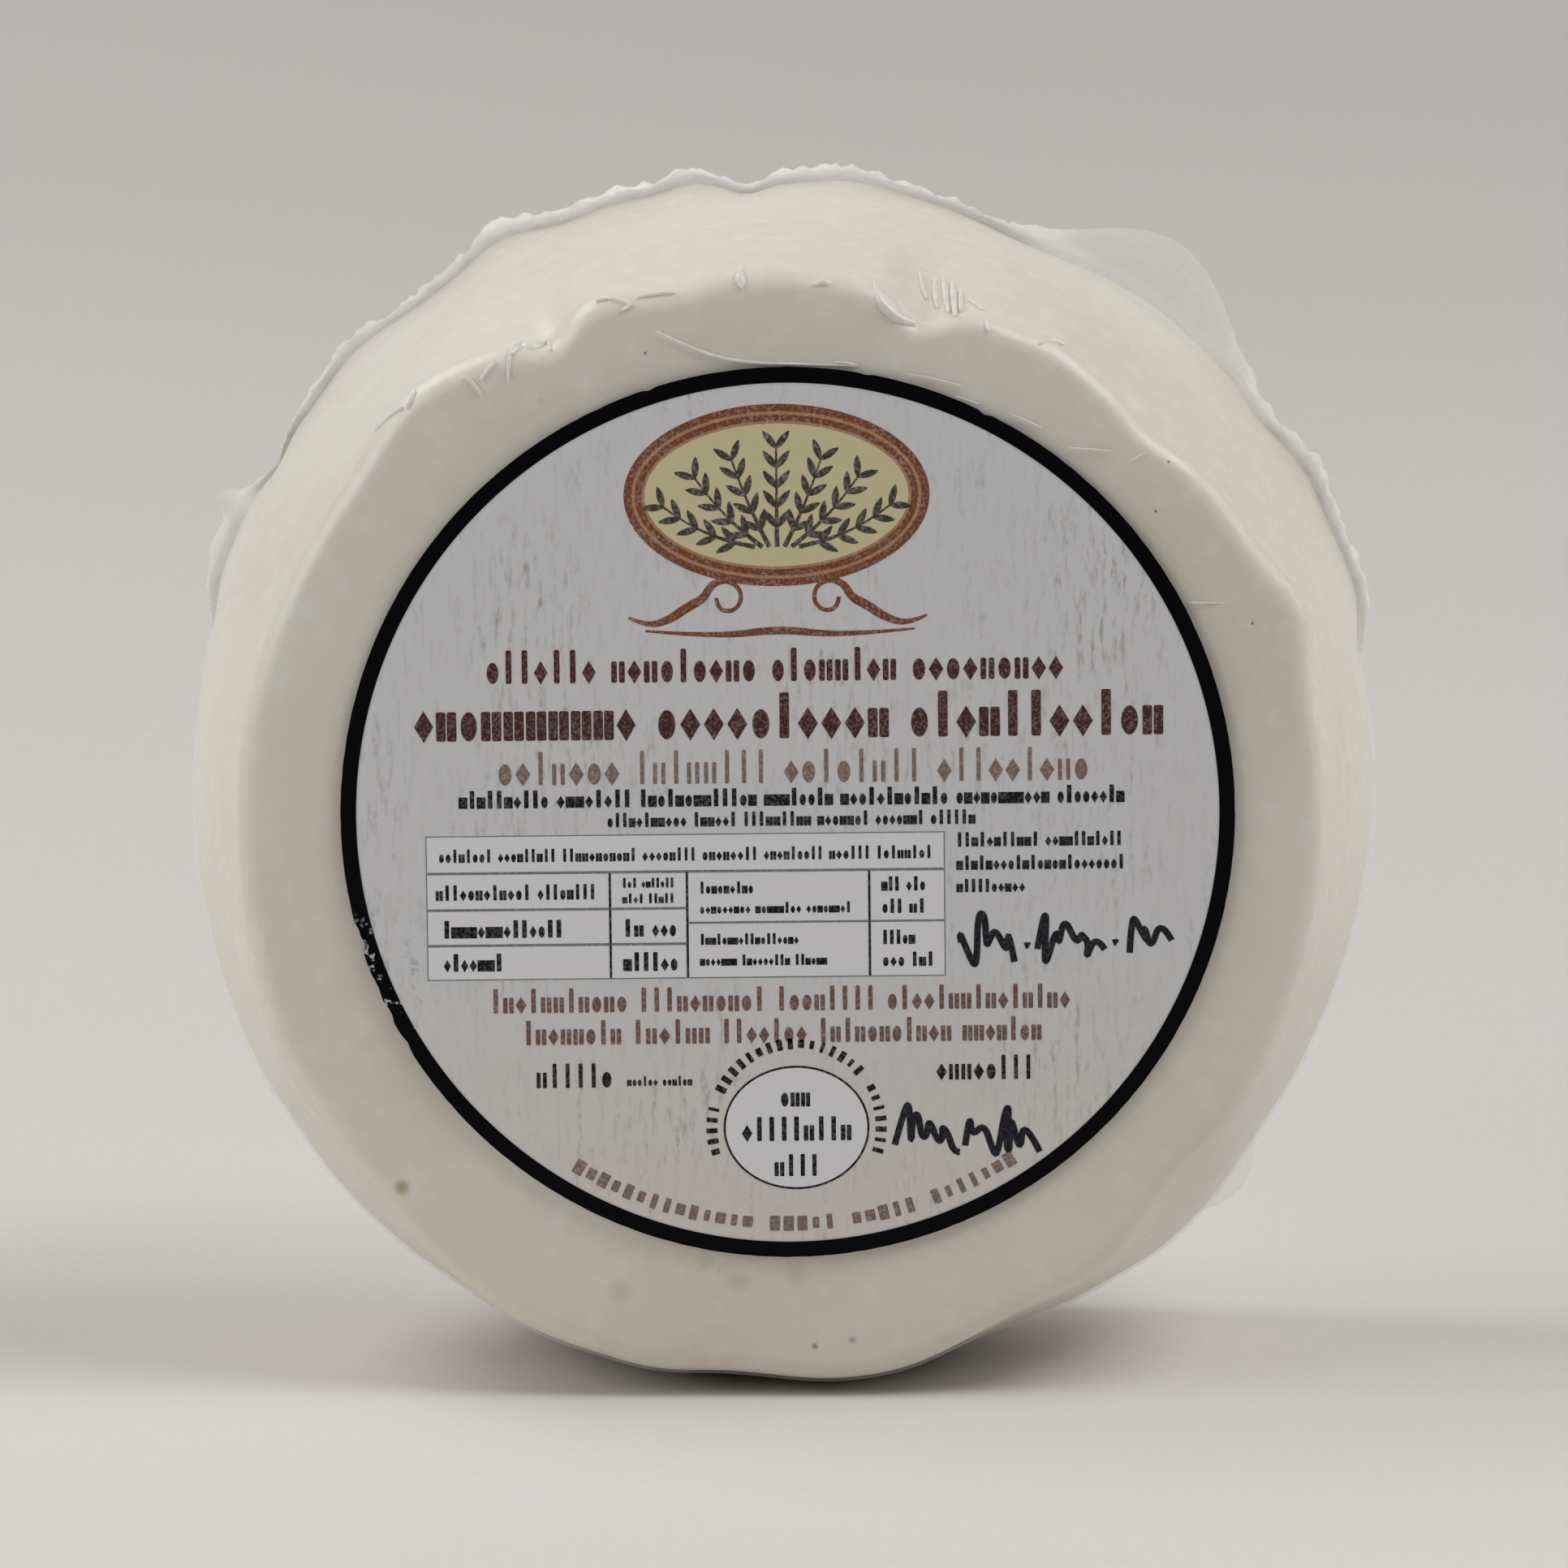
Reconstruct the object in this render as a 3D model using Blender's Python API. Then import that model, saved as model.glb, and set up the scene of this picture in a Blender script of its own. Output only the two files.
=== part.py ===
"""Aged cacioricotta: a small wheel of white cheese in tight shrink film, standing on its edge.

The wheel's axis runs along Y and its labelled face looks towards -Y. The wrapped cheese is one
solid: a turned wheel whose rim, belly and film seam swell and dip round the circle. A round paper
label stands just in front of the face. Angles are in degrees, from +X towards +Z.
"""

import math

import bmesh
import bpy

MM = 0.001

# Driving dimensions, in millimetres
THICKNESS = 48.0  # face to back
RIM_RADIUS = 49.3  # crest between face and side, mean round the wheel
BELLY_RADIUS = 54.8  # widest ring of the side, mean round the wheel
BELLY_DEPTH = 24.0  # how far behind the face the widest ring lies
BACK_RIM_RADIUS = 51.2
SHOULDER = 2.6  # rounding between face and side
REST_RADIUS = 53.0  # from the axis down to the flat spot that the wheel stands on
SEAM_DEPTH = 34.0  # the film's seam, behind the face
SEAM_FOOT = 3.2  # width of the gathered film where it leaves the side
SEAM_EDGE = 0.9  # and at its outer edge
SEAM_RADIUS = 57.3  # outer edge of the crumpled seam over the top
SEAM_LEAST = 0.15  # the seam's height where it lies flat on the side
LABEL_RADIUS = 40.0
LABEL_THICKNESS = 0.25
LABEL_GAP = 0.3

# Mesh density
TURN_STEPS = 120
FACE_RINGS = (12.0, 26.0, 38.0, 43.0)
SHOULDER_STEPS = 4
FRONT_SIDE_STEPS = 7
BACK_SIDE_STEPS = 3
LABEL_STEPS = 96

# Swellings and dips as (angle, half width, height), in degrees and millimetres
RIM_SWELL = (225.0, 1.0)  # the crest is fullest here, by this much
RIM_LUMPS = (
    (22.0, 6.0, 1.7), (47.0, 5.0, -1.0), (60.0, 4.0, 0.5), (75.0, 3.6, -2.6),
    (92.0, 6.0, 0.4), (103.0, 5.0, -0.4), (110.0, 3.0, 0.6), (117.0, 3.0, -1.7),
    (132.0, 8.0, 1.5), (205.0, 9.0, 0.6), (243.0, 18.0, 2.2), (257.0, 6.0, 0.6), (278.0, 13.0, 2.2),
    (303.0, 7.0, 1.2), (318.0, 6.0, -0.8),
)
BELLY_SWELL = (200.0, 0.6)
BELLY_LUMPS = (
    (6.0, 10.0, 0.6), (60.0, 15.0, 0.3), (150.0, 14.0, 0.7), (206.0, 9.0, 0.4), (224.0, 10.0, 0.6),
    (266.0, 5.0, -0.8), (290.0, 6.0, -0.6), (312.0, 9.0, 0.9),
)
BACK_LUMPS = ((35.0, 9.0, -0.8), (82.0, 12.0, 0.6), (150.0, 10.0, -0.7), (300.0, 14.0, 0.5))
SEAM_SPAN = (10.0, 168.0)  # where the seam stands up from the side
SEAM_SPAN_BLEND = 9.0
SEAM_PEAKS = (
    (31.0, 3.0, 0.7), (38.0, 3.0, -0.6), (84.0, 4.0, 0.8), (94.0, 2.4, -1.4),
    (99.0, 3.0, 0.9), (107.0, 3.0, 0.6), (118.0, 4.0, 1.7), (135.0, 5.0, 1.1),
    (66.0, 8.0, -1.5), (148.0, 2.5, -1.3),
)
SEAM_EARS = ((54.0, 9.5, 5.2), (154.0, 2.6, 2.7), (318.0, 6.0, 4.0))
SEAM_WAVES = ((9, 1.3, 0.4), (16, 0.7, 2.1), (23, 0.4, 4.0))  # (waves a turn, depth, phase)

CHEESE_COLOUR = (0.80, 0.77, 0.68)
LABEL_COLOUR = (0.62, 0.61, 0.63)


def clear_scene():
    for thing in list(bpy.data.objects):
        bpy.data.objects.remove(thing, do_unlink=True)


def plain_material(name, colour, roughness):
    material = bpy.data.materials.new(name)
    material.use_nodes = True
    shader = material.node_tree.nodes["Principled BSDF"]
    shader.inputs["Base Color"].default_value = (*colour, 1.0)
    shader.inputs["Roughness"].default_value = roughness
    shader.inputs["Metallic"].default_value = 0.0
    return material


def bell(angle, centre, width, height):
    """A smooth swelling of that height, falling away over the width to each side."""
    gap = (angle - centre + 180.0) % 360.0 - 180.0
    return height * math.exp(-((gap / width) ** 2))


def lumps(angle, rows):
    return sum(bell(angle, *row) for row in rows)


def swell(angle, row):
    centre, height = row
    return height * math.cos(math.radians(angle - centre))


def rim_radius(angle):
    return RIM_RADIUS + swell(angle, RIM_SWELL) + lumps(angle, RIM_LUMPS)


def belly_radius(angle):
    return BELLY_RADIUS + swell(angle, BELLY_SWELL) + lumps(angle, BELLY_LUMPS)


def back_rim_radius(angle):
    return BACK_RIM_RADIUS + swell(angle, BELLY_SWELL) + lumps(angle, BACK_LUMPS)


def step_up(value, low, blend):
    """0 below low, 1 above low + blend, smooth between."""
    share = min(1.0, max(0.0, (value - low) / blend))
    return share * share * (3.0 - 2.0 * share)


def side_radius(angle, depth):
    """The side between the two shoulders: it swells to the belly and draws in to the back."""
    belly = belly_radius(angle)
    if depth <= BELLY_DEPTH:
        share = (depth - SHOULDER) / (BELLY_DEPTH - SHOULDER)
        rim = rim_radius(angle)
        return rim + (belly - rim) * math.sin(share * math.pi / 2.0)
    share = (depth - BELLY_DEPTH) / (THICKNESS - SHOULDER - BELLY_DEPTH)
    return belly - (belly - back_rim_radius(angle)) * share * share


def seam_radius(angle):
    """The outer edge of the film's seam: crumpled over the top, with an ear where a corner stood."""
    low, high = SEAM_SPAN
    standing = step_up(angle, low, SEAM_SPAN_BLEND) - step_up(angle, high - SEAM_SPAN_BLEND, SEAM_SPAN_BLEND)
    side = side_radius(angle, SEAM_DEPTH)
    crumpled = SEAM_RADIUS + lumps(angle, SEAM_PEAKS)
    return side + SEAM_LEAST + standing * (crumpled - side) + lumps(angle, SEAM_EARS)


def seam_depth(angle):
    turn = math.radians(angle)
    return SEAM_DEPTH + sum(size * math.sin(count * turn + phase) for count, size, phase in SEAM_WAVES)


def wheel_profile(angle):
    """(radius, depth) pairs from the face's middle, over the side and the seam, to the back's."""
    points = [(ring, 0.0) for ring in FACE_RINGS]
    rim = rim_radius(angle)
    for step in range(SHOULDER_STEPS):
        turn = (step + 0.5) / SHOULDER_STEPS * math.pi / 2.0
        points.append((rim - SHOULDER * (1.0 - math.sin(turn)), SHOULDER * (1.0 - math.cos(turn))))
    for step in range(FRONT_SIDE_STEPS + 1):
        depth = SHOULDER + (BELLY_DEPTH - SHOULDER) * step / FRONT_SIDE_STEPS
        points.append((side_radius(angle, depth), depth))
    seam = seam_depth(angle)
    foot_front = seam - SEAM_FOOT / 2.0
    foot_back = seam + SEAM_FOOT / 2.0
    points.append((side_radius(angle, (BELLY_DEPTH + foot_front) / 2.0), (BELLY_DEPTH + foot_front) / 2.0))
    points.append((side_radius(angle, foot_front), foot_front))
    points.append((seam_radius(angle), seam - SEAM_EDGE / 2.0))
    points.append((seam_radius(angle), seam + SEAM_EDGE / 2.0))
    points.append((side_radius(angle, foot_back), foot_back))
    back_shoulder = THICKNESS - SHOULDER
    for step in range(1, BACK_SIDE_STEPS + 1):
        depth = foot_back + (back_shoulder - foot_back) * step / BACK_SIDE_STEPS
        points.append((side_radius(angle, depth), depth))
    rim = back_rim_radius(angle)
    for step in reversed(range(SHOULDER_STEPS)):
        turn = (step + 0.5) / SHOULDER_STEPS * math.pi / 2.0
        radius = rim - SHOULDER * (1.0 - math.sin(turn))
        points.append((radius, THICKNESS - SHOULDER * (1.0 - math.cos(turn))))
    points.extend((ring, THICKNESS) for ring in reversed(FACE_RINGS))
    return points


def wheel_point(angle, radius, depth):
    turn = math.radians(angle)
    height = max(radius * math.sin(turn), -REST_RADIUS)
    return (radius * math.cos(turn) * MM, depth * MM, height * MM)


def link(mesh, name, material):
    thing = bpy.data.objects.new(name, mesh)
    bpy.context.scene.collection.objects.link(thing)
    mesh.materials.append(material)
    return thing


def wrapped_cheese():
    """The wheel, turned ring by ring, with a pole at the middle of each face."""
    form = bmesh.new()
    spokes = []
    for step in range(TURN_STEPS):
        angle = 360.0 * step / TURN_STEPS
        spokes.append([form.verts.new(wheel_point(angle, *pair)) for pair in wheel_profile(angle)])
    front = form.verts.new((0.0, 0.0, 0.0))
    back = form.verts.new((0.0, THICKNESS * MM, 0.0))
    for here, there in zip(spokes, spokes[1:] + spokes[:1]):
        form.faces.new((front, there[0], here[0]))
        form.faces.new((back, here[-1], there[-1]))
        for row in range(len(here) - 1):
            form.faces.new((here[row], there[row], there[row + 1], here[row + 1]))
    bmesh.ops.recalc_face_normals(form, faces=form.faces)
    mesh = bpy.data.meshes.new("wrapped_cheese")
    form.to_mesh(mesh)
    form.free()
    mesh.shade_smooth()
    mesh.set_sharp_from_angle(angle=math.radians(40.0))
    return link(mesh, "wrapped_cheese", plain_material("wrapped_cheese", CHEESE_COLOUR, 0.35))


def label():
    """A round paper label, just clear of the film on the face."""
    form = bmesh.new()
    bmesh.ops.create_cone(
        form, cap_ends=True, cap_tris=False, segments=LABEL_STEPS,
        radius1=LABEL_RADIUS * MM, radius2=LABEL_RADIUS * MM, depth=LABEL_THICKNESS * MM,
    )
    mesh = bpy.data.meshes.new("label")
    form.to_mesh(mesh)
    form.free()
    mesh.shade_smooth()
    mesh.set_sharp_from_angle(angle=math.radians(40.0))
    thing = link(mesh, "label", plain_material("label", LABEL_COLOUR, 0.6))
    thing.rotation_euler = (math.pi / 2.0, 0.0, 0.0)
    thing.location = (0.0, -(LABEL_GAP + LABEL_THICKNESS / 2.0) * MM, 0.0)
    return thing


def stand_on_origin(things):
    """Puts the middle of the whole's lowest side at the origin."""
    bpy.context.view_layer.update()
    corners = [thing.matrix_world @ vertex.co for thing in things for vertex in thing.data.vertices]
    shift = []
    for axis in range(3):
        low = min(corner[axis] for corner in corners)
        high = max(corner[axis] for corner in corners)
        shift.append(-low if axis == 2 else -(low + high) / 2.0)
    for thing in things:
        for axis in range(3):
            thing.location[axis] += shift[axis]


clear_scene()
stand_on_origin([wrapped_cheese(), label()])
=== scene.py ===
"""Looks of the aged cacioricotta: a small wheel of white cheese in clear shrink film with a round label.

The wheel stands on its edge with its axis along Y and its labelled face towards -Y. Sizes are in
millimetres and angles in degrees, from +X towards +Z round the wheel's axis. MM turns them to metres.
"""

import math
import random

import bmesh
import bpy
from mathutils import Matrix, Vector, noise
from mathutils.bvhtree import BVHTree


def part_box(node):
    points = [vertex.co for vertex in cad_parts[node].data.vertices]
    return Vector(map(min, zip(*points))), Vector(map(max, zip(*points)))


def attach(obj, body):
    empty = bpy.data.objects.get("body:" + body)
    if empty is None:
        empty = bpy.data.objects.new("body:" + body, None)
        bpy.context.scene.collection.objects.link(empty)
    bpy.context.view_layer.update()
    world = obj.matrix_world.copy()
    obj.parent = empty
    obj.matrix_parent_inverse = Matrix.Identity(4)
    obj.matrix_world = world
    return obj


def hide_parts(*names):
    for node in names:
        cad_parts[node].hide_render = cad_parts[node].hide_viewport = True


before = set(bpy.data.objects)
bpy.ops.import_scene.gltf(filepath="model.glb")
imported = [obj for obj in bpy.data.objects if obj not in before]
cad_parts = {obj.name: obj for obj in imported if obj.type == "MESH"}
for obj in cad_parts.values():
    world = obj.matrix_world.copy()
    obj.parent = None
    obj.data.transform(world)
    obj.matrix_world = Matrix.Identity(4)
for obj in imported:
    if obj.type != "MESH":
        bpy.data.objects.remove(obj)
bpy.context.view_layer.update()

MM = 0.001

# The wheel, as in the frame
WHEEL_LOW, WHEEL_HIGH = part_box("wrapped_cheese")
LABEL_LOW, LABEL_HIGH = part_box("label")
AXIS = Vector(((LABEL_LOW.x + LABEL_HIGH.x) / 2.0, WHEEL_LOW.y, (LABEL_LOW.z + LABEL_HIGH.z) / 2.0))
LABEL_RADIUS = (LABEL_HIGH.x - LABEL_LOW.x) / 2.0 / MM
THICKNESS = (WHEEL_HIGH.y - WHEEL_LOW.y) / MM
REST_RADIUS = AXIS.z / MM
RIM_RADIUS = 49.3
BELLY_RADIUS = 54.8
BELLY_DEPTH = 24.0
BACK_RIM_RADIUS = 51.2
SHOULDER = 2.6
SEAM_DEPTH = 34.0
SEAM_EDGE = 0.5
SEAM_RADIUS = 57.3
SEAM_LEAST = 0.15
BANK_SHARE = 0.74  # how much of the seam's height the cheese itself fills
BANK_REACH = (10.0, 5.0)  # in front of the seam and behind it

# Swellings and dips as (angle, half width, height)
RIM_SWELL = (225.0, 1.0)
RIM_LUMPS = (
    (22.0, 6.0, 1.7), (47.0, 5.0, -1.0), (60.0, 4.0, 0.5), (75.0, 3.6, -2.6),
    (92.0, 6.0, 0.4), (103.0, 5.0, -0.4), (110.0, 3.0, 0.6), (117.0, 3.0, -1.7),
    (132.0, 8.0, 1.5), (205.0, 9.0, 0.6), (243.0, 18.0, 2.2), (257.0, 6.0, 0.6), (278.0, 13.0, 2.2),
    (303.0, 7.0, 1.2), (318.0, 6.0, -0.8),
)
BELLY_SWELL = (200.0, 0.6)
BELLY_LUMPS = (
    (6.0, 10.0, 0.6), (60.0, 15.0, 0.3), (150.0, 14.0, 0.7), (206.0, 9.0, 0.4), (224.0, 10.0, 0.6),
    (266.0, 5.0, -0.8), (290.0, 6.0, -0.6), (312.0, 9.0, 0.9),
)
BACK_LUMPS = ((35.0, 9.0, -0.8), (82.0, 12.0, 0.6), (150.0, 10.0, -0.7), (300.0, 14.0, 0.5))
SEAM_SPAN = (10.0, 168.0)
SEAM_SPAN_BLEND = 9.0
SEAM_PEAKS = (
    (31.0, 3.0, 0.7), (38.0, 3.0, -0.6), (84.0, 4.0, 0.8), (94.0, 2.4, -1.4),
    (99.0, 3.0, 0.9), (107.0, 3.0, 0.6), (118.0, 4.0, 1.7), (135.0, 5.0, 1.1),
    (66.0, 8.0, -1.5), (148.0, 2.5, -1.3),
)
SEAM_EARS = ((54.0, 9.5, 5.2), (153.2, 1.3, 2.4), (158.0, 4.5, 1.2), (318.0, 6.0, 4.0))
RIM_FADE = 6.0  # how far back along the side the rim's lumps still show
SEAM_WAVES = ((9, 1.3, 0.4), (16, 0.7, 2.1), (23, 0.4, 4.0))

# The camera: how far it stands from the label, and where it meets the photograph's frame
FRAME_PIXELS = 1932.0
LABEL_PIXEL = (970.6, 1003.6)  # the label's middle in the photograph
PIXELS_PER_MM = 13.78  # at the label
CAMERA_DISTANCE = 550.0
CAMERA_ELEVATION = 5.8
SENSOR_WIDTH = 36.0

# Layers in front of the wheel's face
CHEESE_INSET = 0.25
FILM_LIFT = 0.02
LABEL_BACK = 0.1
LABEL_FRONT = 0.48
PRINT_STEP = 0.012
PRINT_TURN = 0.6  # the print is turned this far on the label, rising to the right


def alone(piece):
    bpy.ops.object.select_all(action="DESELECT")
    piece.select_set(True)
    bpy.context.view_layer.objects.active = piece


def choose(kind, rule):
    """Selects the faces or the edges that the rule picks, in edit mode."""
    bpy.ops.mesh.select_mode(type=kind)
    bpy.ops.mesh.select_all(action="DESELECT")
    sheet = bmesh.from_edit_mesh(bpy.context.object.data)
    for part in sheet.faces if kind == "FACE" else sheet.edges:
        part.select_set(rule(part))
    bmesh.update_edit_mesh(bpy.context.object.data)


def settled(name):
    """Leaves edit mode, puts the piece's place in its mesh and names it."""
    bpy.ops.object.mode_set(mode="OBJECT")
    bpy.ops.object.transform_apply(location=True, rotation=True, scale=True)
    piece = bpy.context.object
    piece.name = name
    piece.data.name = name
    return piece


def bell(angle, centre, width, height):
    gap = (angle - centre + 180.0) % 360.0 - 180.0
    return height * math.exp(-((gap / width) ** 2))


def lumps(angle, rows):
    return sum(bell(angle, *row) for row in rows)


def swell(angle, row):
    centre, height = row
    return height * math.cos(math.radians(angle - centre))


def step_up(value, low, blend):
    share = min(1.0, max(0.0, (value - low) / blend))
    return share * share * (3.0 - 2.0 * share)


def side_radius(depth, rim, belly, back):
    if depth <= BELLY_DEPTH:
        share = max(0.0, (depth - SHOULDER) / (BELLY_DEPTH - SHOULDER))
        return rim + (belly - rim) * math.sin(share * math.pi / 2.0)
    share = min(1.0, (depth - BELLY_DEPTH) / (THICKNESS - SHOULDER - BELLY_DEPTH))
    return belly - (belly - back) * share * share


def mean_side(depth):
    return side_radius(depth, RIM_RADIUS, BELLY_RADIUS, BACK_RIM_RADIUS)


def plain_side(angle, depth):
    rim = RIM_RADIUS + swell(angle, RIM_SWELL)
    belly = BELLY_RADIUS + swell(angle, BELLY_SWELL) + lumps(angle, BELLY_LUMPS)
    back = BACK_RIM_RADIUS + swell(angle, BELLY_SWELL) + lumps(angle, BACK_LUMPS)
    fade = math.exp(-max(0.0, depth - SHOULDER) / RIM_FADE)
    return side_radius(depth, rim, belly, back) + fade * lumps(angle, RIM_LUMPS)


def standing(angle):
    """1 where the film's seam stands up from the side, 0 where it lies flat."""
    low, high = SEAM_SPAN
    return step_up(angle, low, SEAM_SPAN_BLEND) - step_up(angle, high - SEAM_SPAN_BLEND, SEAM_SPAN_BLEND)


def crumpled_edge(angle):
    """The seam's outer edge where it stands, from the axis."""
    return SEAM_RADIUS + lumps(angle, SEAM_PEAKS)


def lumpy_side(angle, depth):
    """The side, which banks up towards the seam where that stands."""
    reach = BANK_REACH[0 if depth < SEAM_DEPTH else 1]
    bank = math.exp(-(((depth - SEAM_DEPTH) / reach) ** 2))
    crest = crumpled_edge(angle) - plain_side(angle, SEAM_DEPTH)
    return plain_side(angle, depth) + BANK_SHARE * bank * standing(angle) * crest


def wheel_place(angle, radius, depth):
    turn = math.radians(angle)
    height = max(radius * math.sin(turn), -REST_RADIUS)
    return AXIS + Vector((radius * math.cos(turn), depth, height)) * MM


def turned(name, profile, steps):
    """A profile of (radius, depth) pairs, drawn point by point and spun round the wheel's axis."""
    points = [Vector((radius, depth, 0.0)) * MM for radius, depth in profile]
    bpy.ops.object.select_all(action="DESELECT")
    bpy.ops.mesh.primitive_plane_add(size=MM, enter_editmode=True, location=AXIS)
    bpy.ops.mesh.select_mode(type="VERT")
    bpy.ops.mesh.merge(type="CENTER")
    bpy.ops.transform.translate(value=points[0])
    for here, there in zip(points, points[1:]):
        bpy.ops.mesh.extrude_region_move(TRANSFORM_OT_translate={"value": there - here})
    bpy.ops.mesh.select_all(action="SELECT")
    bpy.ops.mesh.spin(steps=steps, angle=math.tau, center=AXIS, axis=(0.0, 1.0, 0.0))
    bpy.ops.mesh.select_all(action="SELECT")
    bpy.ops.mesh.remove_doubles(threshold=0.002 * MM)
    bpy.ops.mesh.normals_make_consistent(inside=False)
    piece = settled(name)
    bpy.ops.object.shade_smooth()
    return piece


def round_place(vertex):
    """A point as (angle, radius, depth) round the wheel's axis."""
    out = (vertex.co - AXIS) / MM
    return math.degrees(math.atan2(out.z, out.x)) % 360.0, math.hypot(out.x, out.z), out.y


def worked(piece, rule):
    """Moves each point of a turned piece to where the rule sends it."""
    for vertex in piece.data.vertices:
        vertex.co = wheel_place(*rule(*round_place(vertex)))
    piece.data.update()
    return piece


# The camera


def make_camera():
    lens = bpy.data.cameras.new("camera")
    lens.sensor_width = SENSOR_WIDTH
    focal_pixels = PIXELS_PER_MM * CAMERA_DISTANCE
    lens.lens = focal_pixels / FRAME_PIXELS * SENSOR_WIDTH
    lens.clip_start = 0.01
    camera = bpy.data.objects.new("camera", lens)
    bpy.context.scene.collection.objects.link(camera)
    across = math.atan((LABEL_PIXEL[0] - FRAME_PIXELS / 2.0) / focal_pixels)
    down = math.atan((LABEL_PIXEL[1] - FRAME_PIXELS / 2.0) / focal_pixels)
    rise = math.radians(CAMERA_ELEVATION)
    camera.location = AXIS + Vector((0.0, -math.cos(rise), math.sin(rise))) * CAMERA_DISTANCE * MM
    camera.rotation_euler = (math.pi / 2.0 - rise + down, 0.0, across)
    bpy.context.scene.camera = camera
    return camera


def touch(camera, surface, pixel):
    """Where the line of sight through a pixel of the photograph meets a surface, and its normal."""
    focal_pixels = PIXELS_PER_MM * CAMERA_DISTANCE
    middle = FRAME_PIXELS / 2.0
    line = Vector(((pixel[0] - middle) / focal_pixels, (middle - pixel[1]) / focal_pixels, -1.0))
    line.rotate(camera.rotation_euler)
    return surface.ray_cast(camera.location, line.normalized())[:2]


def surface_of(piece):
    corners = [vertex.co for vertex in piece.data.vertices]
    return BVHTree.FromPolygons(corners, [tuple(face.vertices) for face in piece.data.polygons])


# The cheese

CHEESE_TURN_STEPS = 300
FACE_ROWS = (0.0, 4.0, 10.0, 18.0, 26.0, 33.0, 38.0, 40.5, 42.0, 43.4)
SHOULDER_ROWS = 8
SIDE_STEP = 0.8
FACE_WAVE = 0.22  # how far the paste dips and swells
LONG_WAVE = 17.0
SHORT_WAVE = 6.0
SHORT_SHARE = 0.4  # how strong the short waves are beside the long ones


def shoulder_rows(rim, face_depth, inward, inset):
    """A quarter round from a flat face to the side, drawn in by inset."""
    rows = []
    for step in range(SHOULDER_ROWS):
        turn = (step + 0.5) / SHOULDER_ROWS * math.pi / 2.0
        radius = rim - SHOULDER + (SHOULDER - inset) * math.sin(turn)
        depth = face_depth + inward * (SHOULDER - (SHOULDER - inset) * math.cos(turn))
        rows.append((radius, depth))
    return rows


def wheel_rows(inset):
    """The mean wheel's profile, drawn in by inset all over."""
    rows = [(radius, inset) for radius in FACE_ROWS]
    rows += shoulder_rows(RIM_RADIUS, 0.0, 1.0, inset)
    side = int((THICKNESS - 2.0 * SHOULDER) / SIDE_STEP)
    for step in range(side + 1):
        depth = SHOULDER + (THICKNESS - 2.0 * SHOULDER) * step / side
        rows.append((mean_side(depth) - inset, depth))
    rows += reversed(shoulder_rows(BACK_RIM_RADIUS, THICKNESS, -1.0, inset))
    rows += [(radius, THICKNESS - inset) for radius in reversed(FACE_ROWS)]
    return rows


def on_wheel(angle, radius, depth):
    """A point of the mean wheel carried to the lumpy one and moved along its slope by slow waves."""
    slope = 1.0  # 1 on the side, 0 on a face
    shift = lumpy_side(angle, depth) - mean_side(depth)
    outward = -1.0 if depth < THICKNESS / 2.0 else 1.0
    edge_gap = min(depth, THICKNESS - depth)
    if edge_gap < SHOULDER:
        edge = SHOULDER if depth < THICKNESS / 2.0 else THICKNESS - SHOULDER
        mean = mean_side(edge)
        share = step_up(radius, LABEL_RADIUS, mean - 2.0 - LABEL_RADIUS)
        shift = share * (lumpy_side(angle, edge) - mean)
        slope = math.sqrt(max(0.0, 1.0 - (1.0 - max(0.0, edge_gap) / SHOULDER) ** 2))
    place = wheel_place(angle, radius, depth) / MM
    slow = noise.noise(place / LONG_WAVE) + SHORT_SHARE * noise.noise(place / SHORT_WAVE)
    if depth < SHOULDER:
        slow *= step_up(radius, LABEL_RADIUS + 0.5, 4.0)
    wave = FACE_WAVE * slow
    return angle, radius + shift + wave * slope, depth + outward * wave * math.sqrt(1.0 - slope * slope)


def make_cheese():
    return worked(turned("cheese", wheel_rows(CHEESE_INSET), CHEESE_TURN_STEPS), on_wheel)


# The film

FILM_TURN_STEPS = 720
SEAM_ROWS = (18, 9)  # in front of the seam's edge and behind it
GATHER_FOOT = (10.0, 5.0)  # how far the gathered film reaches forward and back
GATHER_SWEEP = 1.2
GATHER_REACH = 4.5
CRUMPLE = 0.75
FOLD_SIZE = 2.4
WRINKLE_SIZE = 1.3
SWAY_SIZE = 4.0
SWAY = 1.6  # how far the gathers sway forward and back, beside how far they crumple outwards
EAR_FULL = 2.5  # an ear of this height is loose film all through
EAR_ROOT = (0.5, 1.2)  # height at which an ear stands clear of the gathers, and its blend
SEAM_HEIGHT = SEAM_RADIUS - mean_side(SEAM_DEPTH)


def ear_share(angle):
    return min(1.0, lumps(angle, SEAM_EARS) / EAR_FULL)


def ear_clear(angle, height):
    """1 on the flat, clear part of an ear, 0 on the gathers."""
    return ear_share(angle) * step_up(height, *EAR_ROOT)


def looseness(angle):
    """1 where the seam or an ear stands up, 0 where the film lies flat."""
    return min(1.0, standing(angle) + ear_share(angle))


def seam_near(depth):
    """1 at the seam, falling away in front of it and behind."""
    return math.exp(-(((depth - SEAM_DEPTH) / GATHER_REACH) ** 2))


def seam_height(angle):
    """How far the seam's outer edge stands up from the side."""
    crumpled = crumpled_edge(angle) - lumpy_side(angle, SEAM_DEPTH)
    return SEAM_LEAST + standing(angle) * crumpled + lumps(angle, SEAM_EARS)


def seam_wave(angle):
    turn = math.radians(angle)
    return sum(size * math.sin(count * turn + phase) for count, size, phase in SEAM_WAVES)


def on_seam(depth):
    return -GATHER_FOOT[0] - 0.01 <= depth - SEAM_DEPTH <= GATHER_FOOT[1] + 0.01


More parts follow.
